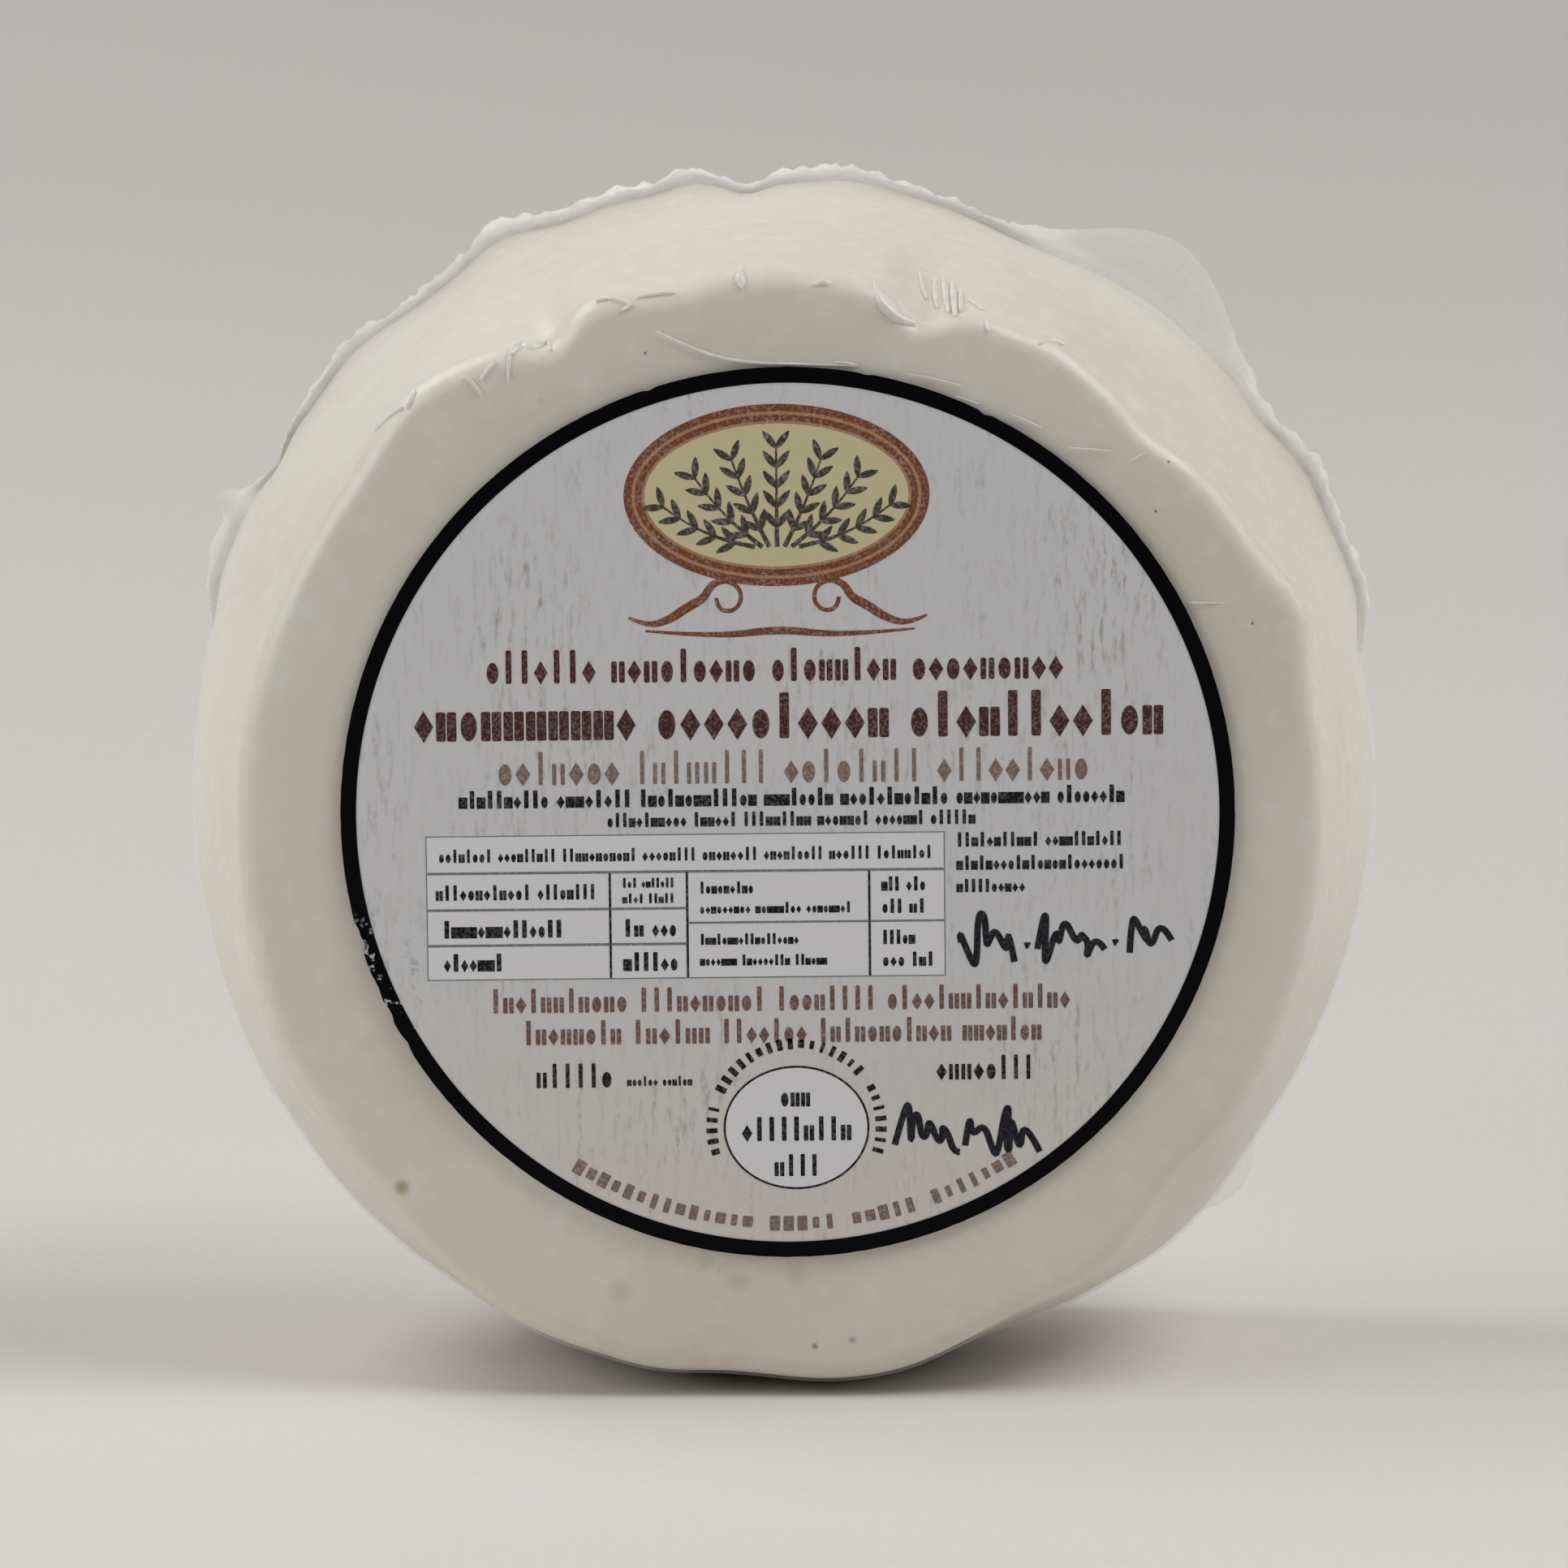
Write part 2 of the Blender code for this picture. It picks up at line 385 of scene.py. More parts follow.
def seam_rise(radius, depth):
    """0 at the gathered film's foot, 1 at its outer edge, on the mean wheel."""
    if not on_seam(depth):
        return 0.0
    return min(1.0, max(0.0, (radius - mean_side(depth) - FILM_LIFT) / SEAM_HEIGHT))


def seam_slope(foot, outward, count):
    """One slope of the gathered film, from its foot on the side up to the seam's edge."""
    rows = []
    for step in range(count + 1):
        share = step / count
        depth = SEAM_DEPTH + outward * (foot + (SEAM_EDGE / 2.0 - foot) * share)
        rows.append((mean_side(depth) + FILM_LIFT + SEAM_HEIGHT * share ** GATHER_SWEEP, depth))
    return rows


def film_rows():
    """The wheel's profile with the gathered film rising out of the side to the seam's edge."""
    front = seam_slope(GATHER_FOOT[0], -1.0, SEAM_ROWS[0])
    back = seam_slope(GATHER_FOOT[1], 1.0, SEAM_ROWS[1])
    wheel = [row for row in wheel_rows(-FILM_LIFT) if not on_seam(row[1])]
    before = sum(1 for row in wheel if row[1] < SEAM_DEPTH)
    return wheel[:before] + front + back[::-1] + wheel[before:]


def fold_noise(place, size):
    """Sharp folds: two layers of ridges, from about -1 to 1."""
    first = 1.0 - 2.0 * abs(noise.noise(place / size))
    second = 1.0 - 2.0 * abs(noise.noise(place / size * 2.3 + Vector((7.0, 3.0, 5.0))))
    return 0.7 * first + 0.5 * second - 0.6


def film_point(angle, radius, depth):
    """Carries the film over the lumpy wheel, raises the gathers and crumples them."""
    rise = seam_rise(radius, depth)
    near = seam_near(depth)
    angle, radius, back = on_wheel(angle, radius - rise * SEAM_HEIGHT, depth)
    if near < 0.01:
        return angle, radius, back
    height = rise * seam_height(angle)
    arc = Vector((math.radians(angle) * SEAM_RADIUS, 0.3 * (depth - SEAM_DEPTH), 0.4 * height))
    crumple = CRUMPLE * looseness(angle) * near * (0.05 + 0.95 * rise)
    crumple *= 1.0 - 0.9 * ear_clear(angle, height)
    folds = fold_noise(arc, FOLD_SIZE)
    sway = 0.8 * folds + noise.noise(arc / SWAY_SIZE + Vector((0.0, 9.0, 0.0)))
    radius += height + crumple * (folds + 0.6 * noise.noise(arc / WRINKLE_SIZE))
    return angle, radius, back + near * seam_wave(angle) + crumple * rise * SWAY * sway


def add_mask(piece, name, rule):
    """A number on each point of a turned piece, for its material."""
    values = [rule(*round_place(vertex)) for vertex in piece.data.vertices]
    piece.data.attributes.new(name, "FLOAT", "POINT").data.foreach_set("value", values)


def gather_mask(angle, radius, depth):
    """1 where the film is bunched up, less on the flat ears."""
    clear = ear_clear(angle, seam_rise(radius, depth) * seam_height(angle))
    return seam_near(depth) * looseness(angle) * (1.0 - 0.97 * clear)


def make_film():
    piece = turned("film", film_rows(), FILM_TURN_STEPS)
    add_mask(piece, "gather", gather_mask)
    return worked(piece, film_point)


# Folds and puckers of the film in front, as (pixels in the photograph, thickness at each)
FOLDS = (
    (((809, 408), (867, 437), (925, 448), (993, 449), (1056, 451)), (0.15, 0.3, 0.35, 0.3, 0.15)),
    (((1027, 446), (1042, 447), (1057, 450)), (0.15, 0.45, 0.15)),
    (((913, 326), (911, 334), (911, 341), (913, 348), (914, 355)), (0.15, 0.8, 1.15, 0.8, 0.15)),
    (((1005, 350), (1012, 343), (1022, 349)), (0.3, 0.8, 0.3)),
    (((1078, 347), (1083, 367), (1095, 381), (1110, 393), (1129, 398)), (0.4, 0.9, 1.0, 0.9, 0.4)),
    (((1133, 334), (1136, 350), (1142, 367)), (0.2, 0.6, 0.25)),
    (((1151, 342), (1151, 360), (1155, 378)), (0.2, 0.7, 0.3)),
    (((1162, 341), (1164, 362), (1169, 384)), (0.25, 0.9, 0.3)),
    (((1173, 345), (1174, 366), (1177, 388)), (0.25, 0.9, 0.3)),
    (((1183, 356), (1184, 369), (1183, 382)), (0.2, 0.7, 0.25)),
    (((1195, 368), (1203, 373), (1212, 380)), (0.2, 0.6, 0.25)),
    (((1215, 394), (1216, 401), (1219, 408)), (0.2, 0.5, 0.2)),
    (((1282, 422), (1296, 414), (1312, 424)), (0.25, 0.8, 0.3)),
    (((733, 370), (741, 365), (750, 367)), (0.2, 0.6, 0.2)),
    (((754, 365), (767, 368), (778, 376)), (0.25, 0.8, 0.3)),
    (((778, 374), (773, 379), (766, 382)), (0.2, 0.5, 0.2)),
    (((785, 365), (808, 359), (831, 359)), (0.2, 0.6, 0.25)),
    (((626, 468), (626, 450), (629, 432)), (0.2, 0.5, 0.4)),
    (((628, 436), (634, 426), (643, 422), (656, 429), (672, 419)), (0.4, 1.3, 1.7, 1.2, 0.4)),
    (((673, 417), (676, 422), (678, 431)), (0.2, 0.5, 0.2)),
    (((592, 468), (600, 456), (610, 445)), (0.2, 0.5, 0.25)),
    (((572, 464), (583, 470), (592, 484)), (0.2, 0.5, 0.2)),
    (((500, 502), (505, 490), (510, 479)), (0.25, 0.8, 0.25)),
    (((460, 530), (474, 512), (494, 501)), (0.3, 1.0, 0.3)),
    (((1465, 742), (1550, 747), (1610, 733)), (0.12, 0.26, 0.12)),
    (((1119, 461), (1153, 466), (1187, 476)), (0.1, 0.24, 0.1)),
    (((1177, 488), (1191, 493), (1206, 498)), (0.1, 0.24, 0.1)),
    (((1245, 510), (1263, 517), (1284, 527)), (0.1, 0.24, 0.1)),
    (((1318, 552), (1344, 553), (1371, 556)), (0.1, 0.24, 0.1)),
    (((1391, 568), (1402, 565), (1410, 557)), (0.1, 0.24, 0.1)),
)
FOLD_SINK = 0.32  # share of a fold's thickness that lies under the film's surface


def drawn_lines(name, strokes):
    """Smooth round lines, as (places, thicknesses), made into one mesh that is left in edit mode."""
    lines = bpy.data.curves.new(name, "CURVE")
    lines.dimensions = "3D"
    lines.bevel_depth = 0.5 * MM
    lines.bevel_resolution = 3
    lines.use_fill_caps = True
    lines.resolution_u = 6
    for places, widths in strokes:
        line = lines.splines.new("NURBS")
        line.points.add(len(places) - 1)
        line.order_u = 3
        line.use_endpoint_u = True
        for index, place in enumerate(places):
            line.points[index].co = (*place, 1.0)
            line.points[index].radius = widths[min(index, len(widths) - 1)]
    drawn = bpy.data.objects.new(name, lines)
    bpy.context.scene.collection.objects.link(drawn)
    alone(drawn)
    bpy.ops.object.convert(target="MESH")
    bpy.ops.object.mode_set(mode="EDIT")
    bpy.ops.mesh.select_all(action="SELECT")
    bpy.ops.mesh.normals_make_consistent(inside=False)


def make_folds(camera, film):
    """The folds that catch the light on the rim and the face."""
    surface = surface_of(film)
    strokes = []
    for pixels, widths in FOLDS:
        places = []
        for pixel, width in zip(pixels, widths):
            place, normal = touch(camera, surface, pixel)
            places.append(place - normal * FOLD_SINK * width * MM)
        strokes.append((places, widths))
    drawn_lines("film_folds", strokes)
    piece = settled("film_folds")
    bpy.ops.object.shade_smooth()
    return piece


# The label and its print

RING_INNER = 38.55
LABEL_STEPS = 360
INK = 0.01  # how thick a layer of ink lies
# Chips in the label's cut edge, as (angle, half width, depth)
LABEL_CHIPS = (
    (195.5, 0.7, 0.35), (197.2, 0.4, 0.5), (203.0, 1.4, 0.15), (206.5, 0.6, 0.4), (211.0, 1.0, 0.2),
    (108.0, 0.5, 0.15), (64.0, 0.4, 0.2), (80.0, 0.5, 0.12),
)


def label_place(across, up, layer):
    """A place on the label's front, from its middle."""
    turn = math.radians(PRINT_TURN)
    right = across * math.cos(turn) - up * math.sin(turn)
    height = across * math.sin(turn) + up * math.cos(turn)
    return AXIS + Vector((right, -(LABEL_FRONT + layer * PRINT_STEP), height)) * MM


def label_turn(angle=0.0):
    """The turn that lays a primitive flat on the label, its top towards the camera."""
    return math.pi / 2.0, -math.radians(angle + PRINT_TURN), 0.0


def cut_short(angle):
    """How far the cut edge of the label falls short of its full radius."""
    ragged = 0.06 * noise.noise(Vector((angle * 1.7, 0.0, 0.0)))
    ragged += 0.05 * noise.noise(Vector((angle * 5.0, 3.0, 0.0)))
    return 0.03 + abs(ragged) + lumps(angle, LABEL_CHIPS)


def make_label_paper():
    bpy.ops.object.select_all(action="DESELECT")
    bpy.ops.mesh.primitive_cylinder_add(
        vertices=LABEL_STEPS, radius=LABEL_RADIUS * MM, depth=(LABEL_FRONT - LABEL_BACK) * MM,
        location=AXIS - Vector((0.0, (LABEL_FRONT + LABEL_BACK) / 2.0, 0.0)) * MM,
        rotation=(math.pi / 2.0, 0.0, 0.0), enter_editmode=True,
    )
    choose("FACE", lambda face: len(face.verts) > 4)
    bpy.ops.mesh.inset(thickness=1.2 * MM)
    bpy.ops.mesh.inset(thickness=2.0 * MM)
    piece = settled("label_paper")
    for vertex in piece.data.vertices:
        angle, radius, depth = round_place(vertex)
        if radius > LABEL_RADIUS - 0.1:
            vertex.co = wheel_place(angle, radius - cut_short(angle), depth)
    bpy.ops.object.shade_smooth_by_angle(angle=math.radians(40.0))
    return piece


def start_ink(layer):
    """An empty mesh in edit mode, ready for marks on the label."""
    bpy.ops.object.select_all(action="DESELECT")
    bpy.ops.mesh.primitive_plane_add(size=MM, enter_editmode=True, location=label_place(0.0, 0.0, layer))
    bpy.ops.mesh.delete(type="VERT")


ROUND_SIDES = {"lozenge": 4, "disc": 18, "oval": 96}


def add_mark(kind, across, up, width, height, layer, angle=0.0):
    """A bar, disc, lozenge or oval of ink with its middle at that place."""
    place = label_place(across, up, layer + 0.5 * INK / PRINT_STEP)
    size = (width * MM, height * MM, INK * MM)
    if kind == "bar":
        bpy.ops.mesh.primitive_cube_add(size=1.0, location=place, rotation=label_turn(angle), scale=size)
    else:
        bpy.ops.mesh.primitive_cylinder_add(
            vertices=ROUND_SIDES[kind], radius=0.5, depth=1.0, location=place, rotation=label_turn(angle),
            scale=size,
        )


def upright(edge):
    line = edge.verts[0].co - edge.verts[1].co
    return abs(line.y) > 0.9 * line.length


def round_corners(amount):
    """Rounds the upright corners of all bars so far."""
    choose("EDGE", upright)
    bpy.ops.mesh.bevel(offset=amount * MM, segments=2, affect="EDGES")


# A line of marks: heights and widths as shares of the line's height, or of the lower marks' height
BODY_HEIGHT = 0.64
WORD_GAP = 0.6
MARK_STEP = 0.78
# A draw below the first makes a tall bar, then a pair of bars, then a disc, and else a lozenge
MARK_DRAWS = (0.3, 0.62, 0.82)
ARC_GAPS = 0.14  # share of the marks along an arc that are left out


def word_marks(rng, left, right, low, high, words, stroke):
    """A line of plain marks in groups: posts, pairs of posts, discs and lozenges."""
    height = high - low
    body = BODY_HEIGHT * height
    gap = WORD_GAP * body
    shares = [rng.uniform(0.6, 1.4) for word in range(words)]
    room = right - left - gap * (words - 1)
    marks = []
    start = left
    for share in shares:
        width = room * share / sum(shares)
        count = max(1, round(width / (MARK_STEP * body)))
        cell = width / count
        for index in range(count):
            middle = start + (index + 0.5) * cell
            draw = rng.random()
            if draw < MARK_DRAWS[0]:
                marks.append(("bar", middle, low + height / 2.0, stroke, height))
            elif draw < MARK_DRAWS[1]:
                for side in (-1.0, 1.0):
                    marks.append(("bar", middle + side * 0.24 * cell, low + body / 2.0, stroke, body))
            elif draw < MARK_DRAWS[2]:
                marks.append(("disc", middle, low + body / 2.0, 0.72 * cell, body))
            else:
                marks.append(("lozenge", middle, low + body / 2.0, 0.85 * cell, body * 1.1))
        start += width + gap
    return marks


def ink_marks(name, marks, layer, corner):
    """A piece of ink made of marks, the bars with rounded corners."""
    start_ink(layer)
    for mark in marks:
        if mark[0] == "bar":
            add_mark(*mark[:5], layer, *mark[5:])
    if corner:
        round_corners(corner)
    for mark in marks:
        if mark[0] != "bar":
            add_mark(*mark[:5], layer, *mark[5:])
    return settled(name)


def ink_words(name, rows, layer, seed, corner):
    rng = random.Random(seed)
    return ink_marks(name, [mark for row in rows for mark in word_marks(rng, *row)], layer, corner)


def ink_bars(name, bars, layer):
    """A piece of ink made of square bars, as (left, right, low, high)."""
    marks = []
    for left, right, low, high in bars:
        marks.append(("bar", (left + right) / 2.0, (low + high) / 2.0, right - left, high - low))
    return ink_marks(name, marks, layer, 0.0)


def ink_arc(name, centre, radius, span, count, size, layer, seed):
    """Small upright bars along an arc."""
    rng = random.Random(seed)
    marks = []
    for index in range(count):
        angle = span[0] + (span[1] - span[0]) * (index + 0.5) / count
        if rng.random() < ARC_GAPS:
            continue
        turn = math.radians(angle)
        across = centre[0] + radius * math.cos(turn)
        up = centre[1] + radius * math.sin(turn)
        lean = angle + 90.0 if math.sin(turn) < 0.0 else angle - 90.0
        height = size[1] * rng.choice((1.0, 1.0, 0.75))
        marks.append(("bar", across, up, size[0] * rng.uniform(0.5, 1.0), height, lean))
    return ink_marks(name, marks, layer, 0.1 * size[0])


def ink_oval(name, centre, size, layer):
    return ink_marks(name, [("oval", *centre, *size)], layer, 0.0)


def ink_strokes(name, strokes, layer):
    """Drawn lines, as (points, widths): smooth curves flattened on the label."""
    lines = []
    for points, widths in strokes:
        lines.append(([label_place(across, up, layer) for across, up in points], widths))
    drawn_lines(name, lines)
    bpy.ops.transform.resize(value=(1.0, 0.02, 1.0), center_override=label_place(0.0, 0.0, layer))
    return settled(name)


def scrawl(rng, left, right, low, high, strokes):
    """One loose line of pen strokes up and down between those edges."""
    points = []
    step = (right - left) / (2 * strokes)
    for index in range(2 * strokes + 1):
        across = left + step * index + rng.uniform(-0.9, 0.9) * step
        reach = rng.uniform(0.0, 0.45) * (high - low)
        up = high - reach if index % 2 else low + reach
        points.append((across, up))
        if rng.random() < 0.4:
            onward = rng.uniform(0.3, 1.2) * step
            points.append((across + onward, up + rng.uniform(-0.2, 0.2) * (high - low)))
    return points


# Materials


def group(name, inputs, outputs):
    """An empty shader node group. Returns it with its input and its output node."""
    tree = bpy.data.node_groups.new(name, "ShaderNodeTree")
    for label, kind, value in inputs:
        tree.interface.new_socket(label, in_out="INPUT", socket_type=kind).default_value = value
    for label, kind in outputs:
        tree.interface.new_socket(label, in_out="OUTPUT", socket_type=kind)
    return tree, tree.nodes.new("NodeGroupInput"), tree.nodes.new("NodeGroupOutput")


def feed(tree, socket, value):
    """Links a socket to another, or sets it to a plain value."""
    if isinstance(value, bpy.types.NodeSocket):
        tree.links.new(value, socket)
    else:
        socket.default_value = value


def node(tree, kind, inputs=(), **settings):
    made = tree.nodes.new(kind)
    for key, value in settings.items():
        setattr(made, key, value)
    for key, value in dict(inputs).items():
        feed(tree, made.inputs[key], value)
    return made


def maths(tree, operation, *values, clamp=False):
    inputs = dict(enumerate(values))
    return node(tree, "ShaderNodeMath", inputs, operation=operation, use_clamp=clamp).outputs[0]


def mix_colour(tree, share, first, second):
    made = node(tree, "ShaderNodeMix", {0: share, 6: first, 7: second}, data_type="RGBA")
    return made.outputs[2]


def vector_maths(tree, operation, *values):
    return node(tree, "ShaderNodeVectorMath", dict(enumerate(values)), operation=operation).outputs


def spread(tree, value, low, high, new_low=0.0, new_high=1.0, kind="LINEAR"):
    """Carries a value from one span to another."""
    spans = {0: value, 1: low, 2: high, 3: new_low, 4: new_high}
    return node(tree, "ShaderNodeMapRange", spans, interpolation_type=kind).outputs[0]


def noise_of(tree, place, size, detail=3.0, stretch=None):
    """A noise from 0 to 1, its places multiplied by size and by stretch along each axis."""
    if stretch:
        place = node(tree, "ShaderNodeMapping", {"Vector": place, "Scale": stretch}).outputs[0]
    return node(tree, "ShaderNodeTexNoise", {"Vector": place, "Scale": size, "Detail": detail}).outputs[0]


def use(tree, made_group, inputs):
    """Places a node group and fills its inputs. Returns its outputs."""
    return node(tree, "ShaderNodeGroup", inputs, node_tree=made_group).outputs


def colour(red, green, blue):
    """A screen colour, 0 to 255, as the linear value that Blender mixes."""
    parts = []
    for part in (red, green, blue):
        share = part / 255.0
        parts.append(share / 12.92 if share <= 0.04045 else ((share + 0.055) / 1.055) ** 2.4)
    return (*parts, 1.0)


def relief(tree, shader, height, strength, depth):
    """Dips and bumps in a surface, up to depth in millimetres."""
    bump = node(tree, "ShaderNodeBump", {"Height": height, "Strength": strength, "Distance": depth * MM})
    feed(tree, shader.inputs["Normal"], bump.outputs[0])


def material(name, settings):
    """A new material with those plain settings. Returns it, its nodes, its shader and the places on it."""
    made = bpy.data.materials.new(name)
    made.use_nodes = True
    tree = made.node_tree
    shader = tree.nodes["Principled BSDF"]
    for key, value in settings.items():
        shader.inputs[key].default_value = value
    place = tree.nodes.new("ShaderNodeTexCoord").outputs["Object"]
    return made, tree, shader, place


def mottle_group():
    """Slow and fine noise for a natural surface."""
    tree, start, end = group(
        "mottle",
        (("Place", "NodeSocketVector", (0.0, 0.0, 0.0)), ("Size", "NodeSocketFloat", 20.0)),
        (("Slow", "NodeSocketFloat"), ("Fine", "NodeSocketFloat")),
    )
    place = start.outputs["Place"]
    size = start.outputs["Size"]
    feed(tree, end.inputs["Slow"], noise_of(tree, place, size))
    feed(tree, end.inputs["Fine"], noise_of(tree, place, maths(tree, "MULTIPLY", size, 14.0), 5.0))
    return tree


def spot_group():
    """A soft spot, stretched along the axes: 1 at its centre, 0 past its radius."""
    tree, start, end = group(
        "spot",
        (
            ("Place", "NodeSocketVector", (0.0, 0.0, 0.0)),
            ("Centre", "NodeSocketVector", (0.0, 0.0, 0.0)),
            ("Stretch", "NodeSocketVector", (1.0, 1.0, 1.0)),
            ("Radius", "NodeSocketFloat", 0.001),
            ("Strength", "NodeSocketFloat", 1.0),
        ),
        (("Mask", "NodeSocketFloat"),),
    )
    offset = vector_maths(tree, "SUBTRACT", start.outputs["Place"], start.outputs["Centre"])[0]
    eased = vector_maths(tree, "DIVIDE", offset, start.outputs["Stretch"])[0]
    away = vector_maths(tree, "LENGTH", eased)["Value"]
    share = maths(tree, "DIVIDE", away, start.outputs["Radius"])
    soft = spread(tree, share, 1.0, 0.2, kind="SMOOTHSTEP")
    feed(tree, end.inputs["Mask"], maths(tree, "MULTIPLY", soft, start.outputs["Strength"]))
    return tree


MOTTLE = mottle_group()
SPOT = spot_group()

CREAM = colour(230, 226, 212)
CREAM_DEEP = colour(223, 217, 200)
CREAM_PALE = colour(238, 236, 226)
STAIN_GREEN = colour(150, 146, 104)
STAIN_FAINT = colour(196, 184, 160)
SPECK = colour(104, 94, 72)
# Spots in the cheese, as (pixel in the photograph, radius, strength, tint)
STAINS = (
    ((495, 1463), 1.0, 0.75, STAIN_GREEN), ((1004, 1659), 0.45, 0.7, SPECK),
    ((1050, 1651), 0.5, 0.5, SPECK), ((1440, 569), 0.2, 1.0, SPECK),
    ((1424, 630), 0.2, 1.0, SPECK), ((1543, 768), 0.2, 1.0, SPECK),
    ((795, 435), 0.2, 1.0, SPECK), ((765, 1590), 1.6, 0.35, STAIN_FAINT),
    ((870, 1555), 1.0, 0.35, STAIN_FAINT), ((910, 1580), 1.3, 0.4, STAIN_FAINT),
    ((982, 1570), 1.5, 0.35, STAIN_FAINT), ((665, 495), 0.5, 0.4, STAIN_FAINT),
)


def cheese_material(camera, cheese):
    gloss = {"Roughness": 0.45, "Coat Weight": 0.3, "Coat Roughness": 0.25}
    made, tree, shader, place = material("cheese", gloss)
    surface = surface_of(cheese)
    mottle = use(tree, MOTTLE, {"Place": place, "Size": 38.0})
    base = mix_colour(tree, spread(tree, mottle["Slow"], 0.35, 0.68), CREAM_DEEP, CREAM)
    base = mix_colour(tree, spread(tree, mottle["Fine"], 0.5, 0.75, 0.0, 0.5), base, CREAM_PALE)
    for pixel, radius, strength, tint in STAINS:
        centre, normal = touch(camera, surface, pixel)
        inputs = {"Place": place, "Centre": centre, "Radius": radius * MM, "Strength": strength}
        spot = use(tree, SPOT, inputs)
        base = mix_colour(tree, spot["Mask"], base, tint)
    feed(tree, shader.inputs["Base Color"], base)
    relief(tree, shader, mottle["Fine"], 0.2, 0.12)
    return made


FILM_WHITE = colour(254, 252, 246)
FOLD_WHITE_AND_GLINT = colour(252, 250, 243)
FILM_STREAKS = (60.0, 1400.0, 60.0)  # how closely the noise repeats along each axis


def film_material():
    gloss = {"Base Color": FILM_WHITE, "Roughness": 0.22, "Specular IOR Level": 0.7}
    made, tree, shader, place = material("film", gloss)
    gather = node(tree, "ShaderNodeAttribute", attribute_name="gather").outputs["Fac"]
    facing = node(tree, "ShaderNodeLayerWeight", {"Blend": 0.25}).outputs["Facing"]
    streak = noise_of(tree, place, 1.0, 3.0, FILM_STREAKS)
    crinkle = noise_of(tree, place, 520.0, 4.0)
    bunched = maths(tree, "POWER", gather, 0.6)
    gathered = maths(tree, "MULTIPLY", bunched, spread(tree, crinkle, 0.3, 0.7, 0.7, 0.95))
    sheen = maths(tree, "MULTIPLY", maths(tree, "POWER", facing, 2.0), 0.4)
    streaks = spread(tree, streak, 0.55, 0.8, 0.0, 0.1)
    haze = maths(tree, "ADD", streaks, 0.05)
    cover = maths(tree, "ADD", gathered, sheen)
    feed(tree, shader.inputs["Alpha"], maths(tree, "ADD", cover, haze, clamp=True))
    crinkled = maths(tree, "MULTIPLY", crinkle, gather)
    height = maths(tree, "ADD", crinkled, maths(tree, "MULTIPLY", streak, 0.25))
    relief(tree, shader, height, 0.25, 0.3)
    return made


def fold_material():
    # The folds' near-white, fairly opaque colour is partly the whitening of creased film and partly
    # painted highlight for the light they catch
    gloss = {"Base Color": FOLD_WHITE_AND_GLINT, "Roughness": 0.3, "Specular IOR Level": 1.0}
    made, tree, shader, place = material("film_fold", gloss)
    veil = noise_of(tree, place, 700.0, 3.0)
    feed(tree, shader.inputs["Alpha"], spread(tree, veil, 0.3, 0.7, 0.5, 0.85))
    relief(tree, shader, veil, 0.2, 0.2)
    return made


PAPER = colour(218, 218, 220)
PAPER_WARM = colour(221, 215, 206)
FLECK = colour(140, 130, 118)
RING_BLACK = colour(4, 4, 8)
RING_FRINGE = colour(120, 118, 135)
RING_BLUR = 0.03
FRINGE_WIDTH = 0.25
# How closely each noise of the paper repeats along each axis
PAPER_STREAKS = (1500.0, 1.0, 260.0)
PAPER_GRAIN = (2600.0, 1.0, 900.0)
PAPER_CLOUDS = (150.0, 1.0, 45.0)
WARM_SPAN = (-12.0, -34.0)  # heights from the label's middle between which the paper turns warmer
PAPER_SHINE = 0.08
SCRATCH = colour(190, 190, 196)
# Where the paper is most weathered, as (across, up, radius, stretch upwards)
WEATHERED = (
    (27.5, 20.0, 9.0, 1.7), (-23.0, 17.0, 8.0, 1.5), (-9.0, -27.0, 9.0, 0.8), (-20.0, 6.0, 7.0, 1.4),
    (4.0, 12.0, 9.0, 0.7), (24.0, -22.0, 8.0, 1.2), (-26.0, -8.0, 8.0, 1.6),
)
WORN_RING = (-36.0, -14.5, 8.0)  # (across, up, radius)


